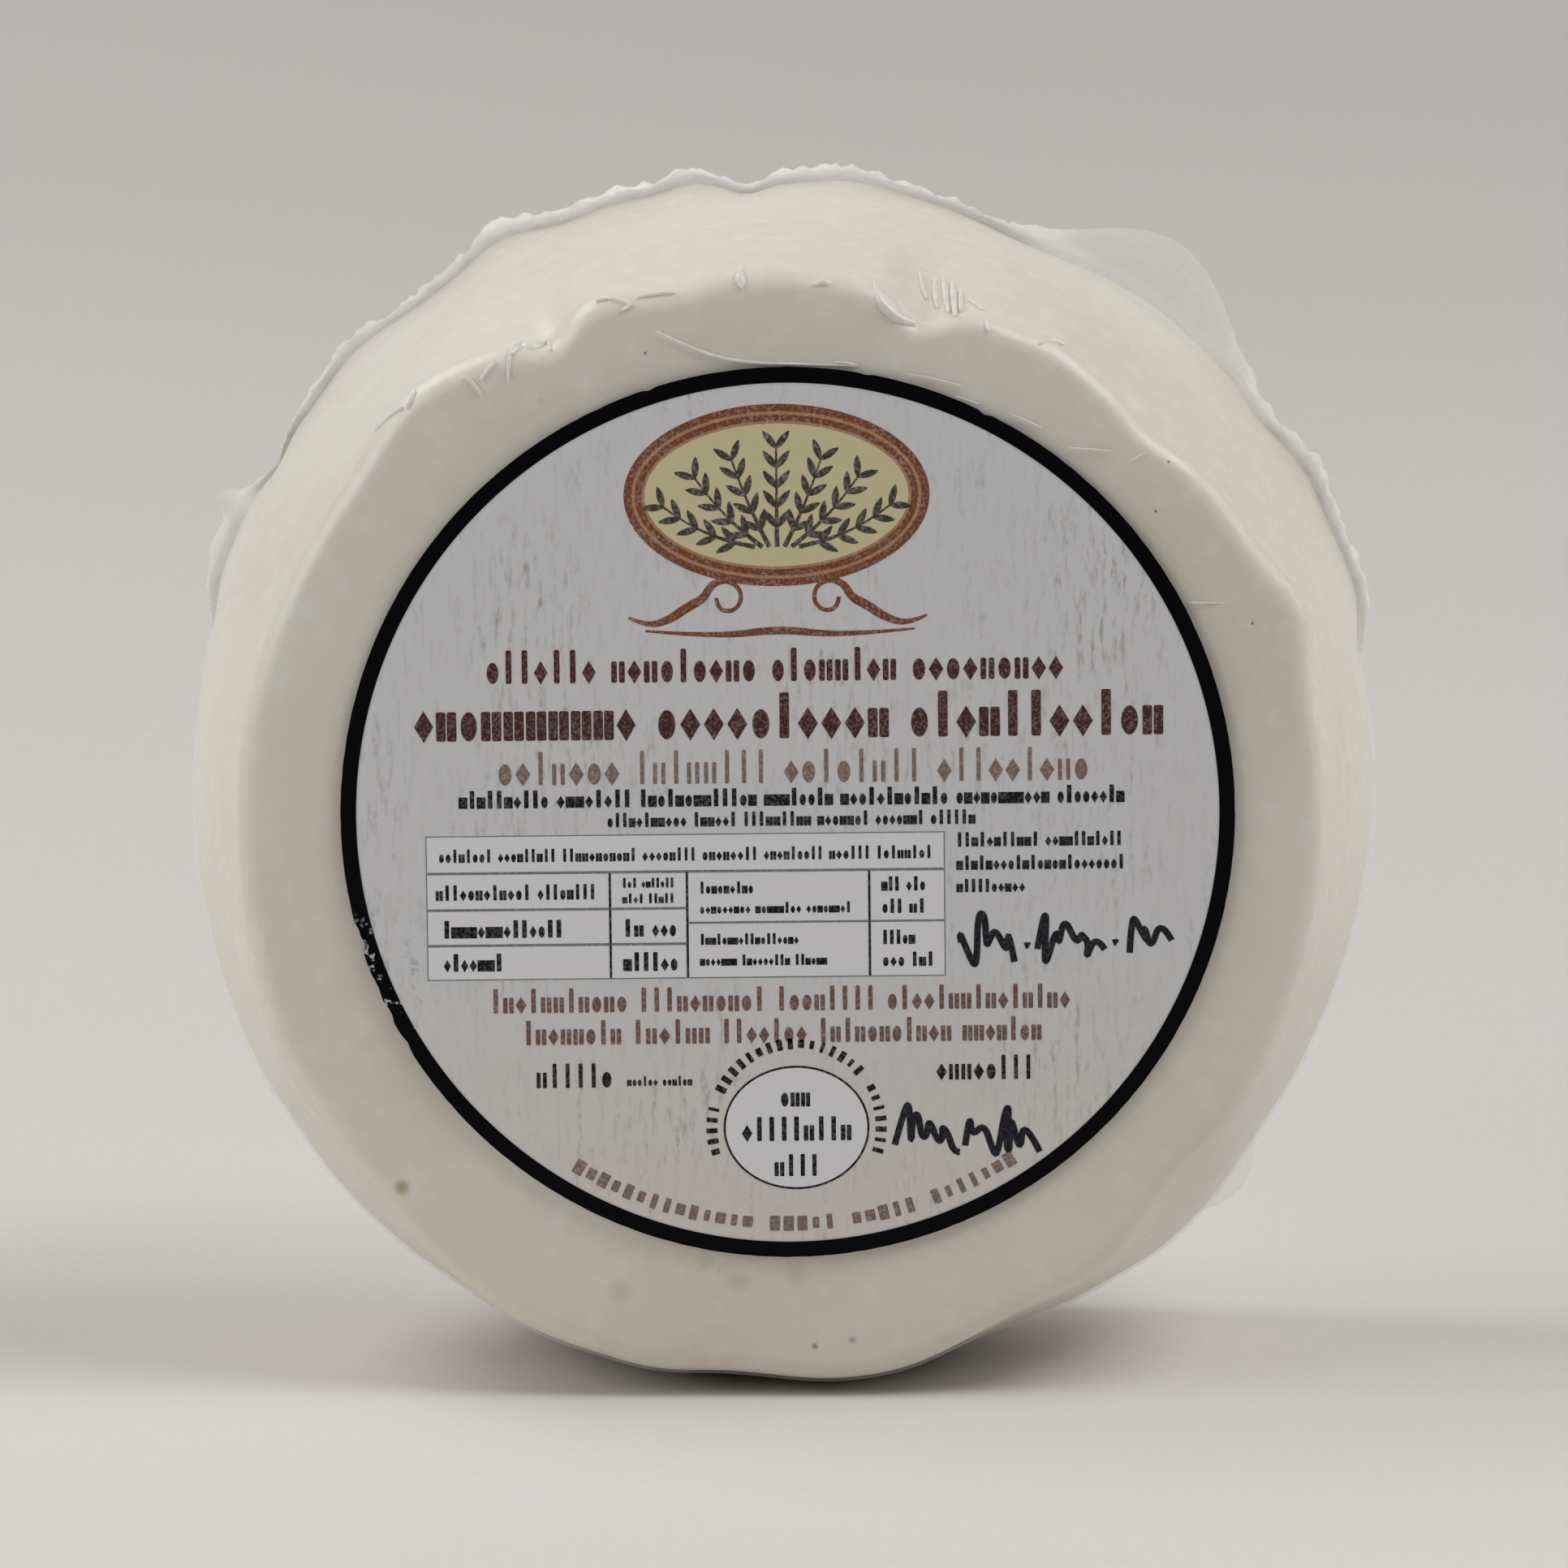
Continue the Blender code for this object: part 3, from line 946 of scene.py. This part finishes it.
def paper_material():
    made, tree, shader, place = material("label_paper", {"Specular IOR Level": PAPER_SHINE})
    streak = noise_of(tree, place, 1.0, 4.0, PAPER_STREAKS)
    fine = noise_of(tree, place, 1.0, 5.0, PAPER_GRAIN)
    cloud = noise_of(tree, place, 1.0, 3.0, PAPER_CLOUDS)
    amount = maths(tree, "MULTIPLY", spread(tree, cloud, 0.45, 0.75), 0.55)
    for across, up, radius, stretch in WEATHERED:
        spot = use(tree, SPOT, {
            "Place": place, "Centre": AXIS + Vector((across, 0.0, up)) * MM,
            "Stretch": (1.0, 1000.0, stretch),
            "Radius": radius * MM, "Strength": 0.55,
        })
        amount = maths(tree, "MAXIMUM", amount, spot["Mask"])
    amount = maths(tree, "ADD", amount, 0.12)
    flecks = maths(tree, "MULTIPLY", spread(tree, streak, 0.48, 0.66), spread(tree, fine, 0.4, 0.62))
    height = node(tree, "ShaderNodeSeparateXYZ", {0: place}).outputs["Z"]
    warm = spread(tree, height, *(AXIS.z + rise * MM for rise in WARM_SPAN), 0.0, 0.8)
    base = mix_colour(tree, warm, PAPER, PAPER_WARM)
    base = mix_colour(tree, maths(tree, "MULTIPLY", flecks, amount, clamp=True), base, FLECK)
    offset = vector_maths(tree, "SUBTRACT", place, AXIS)[0]
    flat = vector_maths(tree, "MULTIPLY", offset, (1.0, 0.0, 1.0))[0]
    away = vector_maths(tree, "LENGTH", flat)["Value"]
    edge = RING_INNER * MM
    fringe = spread(tree, away, edge - FRINGE_WIDTH * MM, edge, 0.0, 0.25)
    ring = spread(tree, away, edge - RING_BLUR * MM, edge + RING_BLUR * MM)
    base = mix_colour(tree, fringe, base, RING_FRINGE)
    base = mix_colour(tree, ring, base, RING_BLACK)
    worn = use(tree, SPOT, {
        "Place": place, "Centre": AXIS + Vector((WORN_RING[0], -LABEL_FRONT, WORN_RING[1])) * MM,
        "Radius": WORN_RING[2] * MM,
    })
    scratch = spread(tree, noise_of(tree, place, 1300.0, 2.0), 0.62, 0.68)
    base = mix_colour(tree, maths(tree, "MULTIPLY", worn["Mask"], scratch), base, SCRATCH)
    feed(tree, shader.inputs["Base Color"], base)
    feed(tree, shader.inputs["Roughness"], spread(tree, fine, 0.3, 0.7, 0.36, 0.5))
    relief(tree, shader, fine, 0.15, 0.04)
    return made


def ink_group():
    """Printed ink: dots of the paper show through, and the tone drifts."""
    tree, start, end = group(
        "ink",
        (
            ("Place", "NodeSocketVector", (0.0, 0.0, 0.0)),
            ("Tone", "NodeSocketColor", (0.1, 0.1, 0.1, 1.0)),
            ("Paper", "NodeSocketColor", PAPER),
            ("Break", "NodeSocketFloat", 0.3),
        ),
        (("Color", "NodeSocketColor"), ("Roughness", "NodeSocketFloat")),
    )
    place = start.outputs["Place"]
    dots = spread(tree, noise_of(tree, place, 3600.0, 2.0), 0.45, 0.7)
    drift = spread(tree, noise_of(tree, place, 300.0, 2.0), 0.35, 0.7, 0.5, 1.0)
    share = maths(tree, "MULTIPLY", maths(tree, "MULTIPLY", dots, drift), start.outputs["Break"])
    feed(tree, end.inputs["Color"], mix_colour(tree, share, start.outputs["Tone"], start.outputs["Paper"]))
    feed(tree, end.inputs["Roughness"], spread(tree, dots, 0.0, 1.0, 0.38, 0.5))
    return tree


INK_BREAK = ink_group()


def ink_material(name, tone, broken):
    made, tree, shader, place = material(name, {"Specular IOR Level": PAPER_SHINE})
    ink = use(tree, INK_BREAK, {"Place": place, "Tone": tone, "Break": broken})
    feed(tree, shader.inputs["Base Color"], ink["Color"])
    feed(tree, shader.inputs["Roughness"], ink["Roughness"])
    return made


# Putting it together


def dress(piece, made, replaced=None):
    """Gives a piece its material in one slot, hangs it on the root body and hides the part it replaces."""
    piece.data.materials.clear()
    piece.data.materials.append(made)
    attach(piece, "root")
    if replaced:
        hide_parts(replaced)


# The stems of the medallion's sprigs, as (lean, length, curl at each leaf)
STEMS = (
    (-78.0, 9.0, 6.0), (-52.0, 8.6, 4.0), (-27.0, 8.4, 2.0), (0.0, 8.8, 0.0),
    (27.0, 8.4, -2.0), (52.0, 8.6, -4.0), (78.0, 9.0, -6.0),
)
STEM_DROP = 4.6  # from the medallion's middle down to the stems' feet
STEM_LEAVES = 5
LEAF_LENGTH = 1.9
LEAF_SPREAD = 38.0


def leafy_stem(start, lean, length, curl, leaves, size):
    """A stem that rises from a place at that lean, with a pair of leaves at each step."""
    stem = [start]
    for step in range(leaves):
        turn = math.radians(90.0 - lean - curl * step)
        across, up = stem[-1]
        stem.append((across + math.cos(turn) * length / leaves, up + math.sin(turn) * length / leaves))
    strokes = [(stem, (0.45, 0.4, 0.3, 0.2))]
    for index in range(1, leaves + 1):
        across, up = stem[index]
        for side in (-1.0, 1.0):
            turn = math.radians(90.0 - lean - curl * (index - 1) + side * LEAF_SPREAD)
            tip = (across + math.cos(turn) * size, up + math.sin(turn) * size)
            half = ((across + tip[0]) / 2.0, (up + tip[1]) / 2.0)
            strokes.append(([(across, up), half, tip], (0.2, 0.62 * size, 0.1)))
    return strokes


def sprig_strokes(centre):
    """A fan of leafy stems that rises from the medallion's foot."""
    strokes = []
    for lean, length, curl in STEMS:
        foot = (centre[0] + lean / 40.0, centre[1] - STEM_DROP)
        strokes += leafy_stem(foot, lean, length, curl, STEM_LEAVES, LEAF_LENGTH)
    return strokes


def ink_colours():
    """The inks of the label, each a material, by name."""
    rows = (
        ("ink_dark_brown", colour(78, 46, 44), 0.25), ("ink_taupe", colour(132, 112, 98), 0.35),
        ("ink_brown", colour(118, 88, 74), 0.35), ("ink_black", colour(30, 27, 30), 0.2),
        ("ink_rust", colour(128, 74, 48), 0.35), ("ink_gold", colour(178, 134, 96), 0.3),
        ("ink_field", colour(216, 205, 164), 0.15), ("ink_olive", colour(74, 68, 58), 0.35),
        ("ink_white", colour(232, 231, 234), 0.1), ("ink_line", colour(120, 132, 128), 0.3),
        ("pen_ink", colour(34, 34, 42), 0.08),
    )
    return {name: ink_material(name, tone, broken) for name, tone, broken in rows}


MEDALLION = (-0.7, 28.6)
# The medallion's ovals, from the widest to its field, as (width, height, ink)
OVALS = (
    (27.2, 16.2, "ink_rust"), (25.8, 14.9, "ink_gold"), (25.2, 14.3, "ink_rust"),
    (24.0, 13.2, "ink_gold"), (23.5, 12.7, "ink_field"),
)
SCROLL_ARM = ((13.3, 17.8), (11.6, 17.0), (9.6, 17.6), (7.9, 18.8))
SCROLL_COIL = (4.6, 19.4)
COIL_RADIUS = 2.0
COIL_POINTS = 9
COIL_TURN = 0.8  # from point to point, in radians
COIL_END = 14.0  # the coil would close up at this many points
SCROLL_WAVE = ((-12.5, 16.6), (-6.0, 16.0), (-0.7, 16.7), (5.0, 16.0), (11.5, 16.6))


def scroll_arm(side):
    """One arm of the scroll under the medallion, with a coil at its inner end."""
    arm = list(SCROLL_ARM)
    for step in range(COIL_POINTS):
        radius = COIL_RADIUS * (1.0 - step / COIL_END)
        turn = COIL_TURN * step
        arm.append((SCROLL_COIL[0] + radius * math.cos(turn), SCROLL_COIL[1] + radius * math.sin(turn)))
    return [(side * across + MEDALLION[0], up) for across, up in arm]


# Lines of marks, as (left, right, low, high, words, stroke width)
DARK_LINES = ((-26.9, 24.8, 12.0, 15.0, 4, 0.5), (-33.4, 33.7, 6.9, 11.0, 3, 0.85))
TAUPE_LINES = ((-26.0, 27.0, 2.9, 5.9, 4, 0.36),)
BLACK_LINES = (
    (-29.4, 30.1, 0.85, 2.45, 7, 0.4), (-16.2, 16.8, -0.95, 0.35, 6, 0.3),
    (15.0, 29.9, -3.0, -1.7, 2, 0.3), (15.0, 30.1, -5.1, -3.8, 1, 0.3), (15.0, 21.2, -7.1, -5.9, 1, 0.3),
    (-22.9, -15.9, -24.4, -22.2, 1, 0.35), (-14.7, -8.8, -24.3, -23.4, 2, 0.2),
    (13.0, 21.9, -24.0, -21.8, 1, 0.35),
)
BROWN_LINES = ((-26.9, 25.2, -17.6, -15.4, 4, 0.4), (-24.0, 22.6, -20.5, -18.3, 5, 0.4))
TABLE_WORDS = (
    (-31.3, 12.9, -4.0, -2.8, 8, 0.26), (-31.6, -17.2, -7.4, -6.0, 2, 0.3),
    (-31.0, -20.2, -10.8, -9.2, 1, 0.42), (-31.0, -25.6, -13.8, -12.2, 1, 0.42),
    (-14.9, -10.2, -6.4, -5.5, 2, 0.24), (-14.9, -10.2, -7.8, -6.9, 2, 0.24),
    (-14.9, -10.0, -10.8, -9.2, 2, 0.4), (-14.9, -9.9, -13.9, -12.2, 1, 0.4),
    (-8.0, -3.1, -7.0, -5.9, 1, 0.26), (-8.0, 5.6, -8.8, -7.8, 3, 0.26),
    (-8.0, 0.9, -11.6, -10.6, 1, 0.26), (-8.0, 3.4, -13.5, -12.5, 3, 0.26),
    (8.3, 12.3, -6.9, -5.6, 2, 0.32), (8.3, 12.3, -8.9, -7.6, 2, 0.32),
    (8.3, 11.3, -11.7, -10.4, 1, 0.32), (8.3, 13.0, -13.7, -12.4, 2, 0.32),
)
STAMP_LINES = (
    (-1.0, 1.8, -26.3, -24.3, 1, 0.38), (-4.5, 5.5, -29.4, -27.2, 1, 0.42),
    (-1.6, 2.6, -32.6, -30.6, 1, 0.38),
)
# The table, as (left, right, low, high)
TABLE_SHEET = ((-32.4, 14.0, -14.6, -1.6),)
TABLE_CELLS = (
    (-32.3, 13.9, -4.85, -1.7), (-32.3, -16.1, -8.15, -5.1), (-32.3, -16.1, -11.35, -8.4),
    (-32.3, -16.1, -14.5, -11.6), (-15.85, -9.2, -8.15, -5.1), (-15.85, -9.2, -11.35, -8.4),
    (-15.85, -9.2, -14.5, -11.6), (-8.95, 7.1, -9.5, -5.1), (-8.95, 7.1, -14.5, -9.7),
    (7.35, 13.9, -9.5, -5.1), (7.35, 13.9, -14.5, -9.7),
)
TABLE_POSTS = ((-16.05, -15.9, -14.5, -5.0), (-9.15, -9.0, -14.5, -5.0), (7.15, 7.3, -14.5, -5.0))
STAMP = (0.5, -28.2)
# Pen strokes, as (left, right, low, high, strokes), and the dots between them
PEN_LINES = (
    (14.9, 20.4, -13.6, -8.9, 4), (22.0, 27.8, -13.4, -9.2, 5), (30.2, 33.9, -13.4, -9.0, 3),
    (9.4, 14.6, -31.6, -26.0, 4), (15.4, 21.9, -31.2, -26.2, 5),
)
PEN_DOTS = ((21.1, -12.0), (29.0, -11.8))
PEN_WIDTH = 0.62


def make_print():
    """All that is printed or written on the label, as plain shapes and fields of colour."""
    inks = ink_colours()

    def printed(piece, ink):
        dress(piece, inks[ink])

    for index, (width, height, ink) in enumerate(OVALS):
        printed(ink_oval(f"medallion_{index}", MEDALLION, (width, height), 1.0 + index), ink)
    printed(ink_strokes("medallion_sprig", sprig_strokes(MEDALLION), 7.0), "ink_olive")
    scroll = [(scroll_arm(side), (0.25, 0.5, 0.8, 0.9, 0.8, 0.7, 0.5, 0.4)) for side in (-1.0, 1.0)]
    scroll.append((SCROLL_WAVE, (0.2, 0.5, 0.8, 0.5, 0.2)))
    printed(ink_strokes("flourish", scroll, 1.0), "ink_rust")
    printed(ink_words("words_dark", DARK_LINES, 1.0, 3, 0.15), "ink_dark_brown")
    printed(ink_words("words_taupe", TAUPE_LINES, 1.0, 5, 0.1), "ink_taupe")
    printed(ink_words("words_black", BLACK_LINES, 1.0, 7, 0.06), "ink_black")
    printed(ink_words("words_brown", BROWN_LINES, 1.0, 9, 0.08), "ink_brown")
    printed(ink_bars("table_lines", TABLE_SHEET, 1.0), "ink_line")
    printed(ink_bars("table_cells", TABLE_CELLS, 2.0), "ink_white")
    printed(ink_bars("table_posts", TABLE_POSTS, 3.0), "ink_black")
    printed(ink_words("table_words", TABLE_WORDS, 3.0, 11, 0.05), "ink_black")
    printed(ink_oval("stamp_edge", STAMP, (13.1, 11.2), 1.0), "ink_black")
    printed(ink_oval("stamp_field", STAMP, (12.7, 10.8), 2.0), "ink_white")
    printed(ink_words("stamp_words", STAMP_LINES, 3.0, 19, 0.08), "ink_black")
    printed(ink_arc("stamp_arc", STAMP, 7.6, (200.0, -20.0), 30, (0.55, 1.0), 1.0, 13), "ink_black")
    printed(ink_arc("edge_arc", (0.0, 0.0), 36.9, (238.0, 303.0), 34, (0.95, 1.35), 1.0, 17), "ink_taupe")
    rng = random.Random(23)
    lines = [scrawl(rng, *row) for row in PEN_LINES]
    lines += [[(across, up), (across + 0.25, up + 0.1), (across + 0.4, up)] for across, up in PEN_DOTS]
    printed(ink_strokes("pen_strokes", [(line, (PEN_WIDTH,)) for line in lines], 2.0), "pen_ink")


# The stage

FLOOR_COLOUR = colour(224, 221, 217)
# The darker wall colour is painted shade that deepens up the backdrop; the paper's grain also mixes a
# little of it in
WALL_SHADE_AND_GRAIN_COLOUR = colour(200, 198, 194)
WALL_SHADE_HEIGHT = 0.16
FLOOR_HALF_WIDTH = 0.9
FLOOR_FRONT = -0.7
SWEEP_START = 0.12
SWEEP_RADIUS = 0.35
SWEEP_STEPS = 24
WALL_TOP = 1.2


def make_floor():
    """One sheet of pale paper that curves up behind the wheel."""
    rows = [(FLOOR_FRONT, 0.0), (SWEEP_START, 0.0)]
    for step in range(1, SWEEP_STEPS + 1):
        turn = step / SWEEP_STEPS * math.pi / 2.0
        rows.append((SWEEP_START + SWEEP_RADIUS * math.sin(turn), SWEEP_RADIUS * (1.0 - math.cos(turn))))
    rows.append((SWEEP_START + SWEEP_RADIUS, WALL_TOP))
    bpy.ops.object.select_all(action="DESELECT")
    bpy.ops.mesh.primitive_plane_add(size=2.0 * FLOOR_HALF_WIDTH, enter_editmode=True)
    bpy.ops.mesh.select_mode(type="VERT")
    sheet = bmesh.from_edit_mesh(bpy.context.object.data)
    bmesh.ops.delete(sheet, geom=[vertex for vertex in sheet.verts if vertex.co.y > 0.0], context="VERTS")
    bmesh.update_edit_mesh(bpy.context.object.data)
    bpy.ops.mesh.select_all(action="SELECT")
    bpy.ops.transform.translate(value=(0.0, FLOOR_FRONT + FLOOR_HALF_WIDTH, 0.0))
    for here, there in zip(rows, rows[1:]):
        bpy.ops.mesh.extrude_region_move(
            TRANSFORM_OT_translate={"value": (0.0, there[0] - here[0], there[1] - here[1])}
        )
    floor = settled("floor")
    bpy.ops.object.shade_smooth()
    made, tree, shader, place = material("floor", {"Roughness": 0.8})
    # Painted shade: the sheet turns darker as it rises from the floor up the wall
    height = node(tree, "ShaderNodeSeparateXYZ", {0: place}).outputs["Z"]
    rising = spread(tree, height, 0.0, WALL_SHADE_HEIGHT, kind="SMOOTHSTEP")
    grain = spread(tree, noise_of(tree, place, 900.0, 2.0), 0.3, 0.7, 0.0, 0.12)
    paper = mix_colour(tree, rising, FLOOR_COLOUR, WALL_SHADE_AND_GRAIN_COLOUR)
    feed(tree, shader.inputs["Base Color"], mix_colour(tree, grain, paper, WALL_SHADE_AND_GRAIN_COLOUR))
    # Seen from outside, the sheet lets the eye through, so it never hides the wheel
    outside = node(tree, "ShaderNodeNewGeometry").outputs["Backfacing"]
    feed(tree, shader.inputs["Alpha"], maths(tree, "SUBTRACT", 1.0, outside))
    floor.data.materials.append(made)


LIGHT_DISTANCE = 0.65
LIGHT_SIZE = (0.4, 0.3)
LIGHT_TINT = (1.0, 0.998, 0.99)


def soft_light(name, turn, rise, watts):
    """A soft panel aimed at the wheel's foot, turned that far round from the front and raised."""
    lamp = bpy.data.lights.new(name, "AREA")
    lamp.shape = "RECTANGLE"
    lamp.size, lamp.size_y = LIGHT_SIZE
    lamp.energy = watts
    lamp.color = LIGHT_TINT
    thing = bpy.data.objects.new(name, lamp)
    bpy.context.scene.collection.objects.link(thing)
    across, up = math.radians(turn), math.radians(rise)
    away = Vector((math.sin(across) * math.cos(up), -math.cos(across) * math.cos(up), math.sin(up)))
    thing.location = away * LIGHT_DISTANCE
    thing.rotation_euler = (-away).to_track_quat("-Z", "Y").to_euler()


def make_lights():
    for name, turn, rise, watts in (
        ("left_high", -102.0, 55.0, 1.45),
        ("left_low", -60.0, 28.0, 1.15),
        ("right_high", 66.0, 55.0, 1.95),
        ("right_back", 100.0, 28.0, 0.58),
    ):
        soft_light(name, turn, rise, watts)
    world = bpy.data.worlds.new("studio")
    bpy.context.scene.world = world
    world.use_nodes = True
    sky = world.node_tree.nodes["Background"]
    sky.inputs["Color"].default_value = (1.0, 1.0, 1.0, 1.0)
    sky.inputs["Strength"].default_value = 0.06
    bpy.context.scene.view_settings.view_transform = "Standard"


camera = make_camera()
cheese = make_cheese()
film = make_film()
dress(cheese, cheese_material(camera, cheese), "wrapped_cheese")
dress(film, film_material(), "wrapped_cheese")
dress(make_folds(camera, film), fold_material(), "wrapped_cheese")
dress(make_label_paper(), paper_material(), "label")
make_print()
make_floor()
make_lights()
